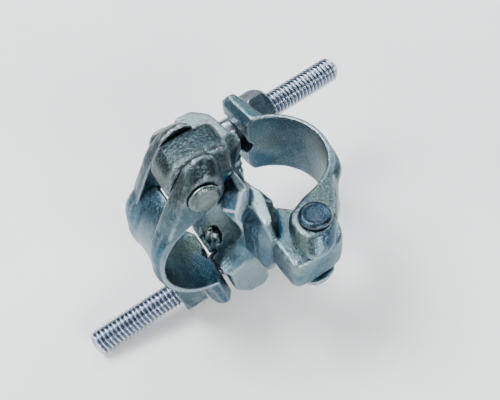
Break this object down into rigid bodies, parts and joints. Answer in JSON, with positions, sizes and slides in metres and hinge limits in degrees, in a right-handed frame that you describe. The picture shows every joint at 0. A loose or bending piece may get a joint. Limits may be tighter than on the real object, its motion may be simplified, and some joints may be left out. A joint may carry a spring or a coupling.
{
  "type": "scaffold coupler clamp",
  "caption": "Drop-forged right-angle scaffold coupler with hinged saddle caps and swing T-bolts, joining crossed tubes at ninety degrees.",
  "frame": {"origin": "middle of the body forging, halfway between the two tube axes and in the middle plane of both saddles", "axes": "+X from the body to clamp 1, along the bolts and through both tube axes; +Z along clamp 1's tube, towards clamp 2's hinge; +Y towards clamp 1's bolt"},
  "size_m": [0.1639, 0.1049, 0.1082],
  "materials": {
    "zinc_plated_forging": "zinc plated, passivated blue, fine forged grain",
    "zinc_plated_thread": "zinc plated, bright"
  },
  "bodies": {
    "body": {"body_forging": "zinc_plated_forging", "hinge_rivet_1": "zinc_plated_thread", "hinge_rivet_2": "zinc_plated_thread"},
    "cap_1": {"cap_1": "zinc_plated_forging"},
    "t_bolt_1": {"t_bolt_1": "zinc_plated_thread"},
    "nut_1": {"nut_1": "zinc_plated_thread"},
    "cap_2": {"cap_2": "zinc_plated_forging"},
    "t_bolt_2": {"t_bolt_2": "zinc_plated_thread"},
    "nut_2": {"nut_2": "zinc_plated_thread"}
  },
  "joints": [
    {"name": "bolt_1_swing", "type": "hinge", "parent": "body", "child": "t_bolt_1", "pos_m": [0.003, 0.037, 0], "axis": [0, 0, 1], "range_deg": [0, 95]},
    {"name": "nut_1_run", "type": "slide", "parent": "t_bolt_1", "child": "nut_1", "axis": [0.9877, 0.1564, 0], "range_m": [0, 0.038]},
    {"name": "cap_1_open", "type": "hinge", "parent": "body", "child": "cap_1", "pos_m": [0.0195, -0.036, 0], "axis": [0, 0, -1], "range_deg": [0, 110]},
    {"name": "bolt_2_swing", "type": "hinge", "parent": "body", "child": "t_bolt_2", "pos_m": [-0.003, 0, -0.037], "axis": [0, -1, 0], "range_deg": [0, 95]},
    {"name": "nut_2_run", "type": "slide", "parent": "t_bolt_2", "child": "nut_2", "axis": [-0.9781, 0, -0.2079], "range_m": [0, 0.038]},
    {"name": "cap_2_open", "type": "hinge", "parent": "body", "child": "cap_2", "pos_m": [-0.0195, 0, 0.036], "axis": [0, 1, 0], "range_deg": [0, 110]}
  ],
  "couplings": [
    {"joint": "cap_1_open", "follows": "nut_1_run", "rad_per_m": 13.2},
    {"joint": "cap_2_open", "follows": "nut_2_run", "rad_per_m": 13.2}
  ]
}
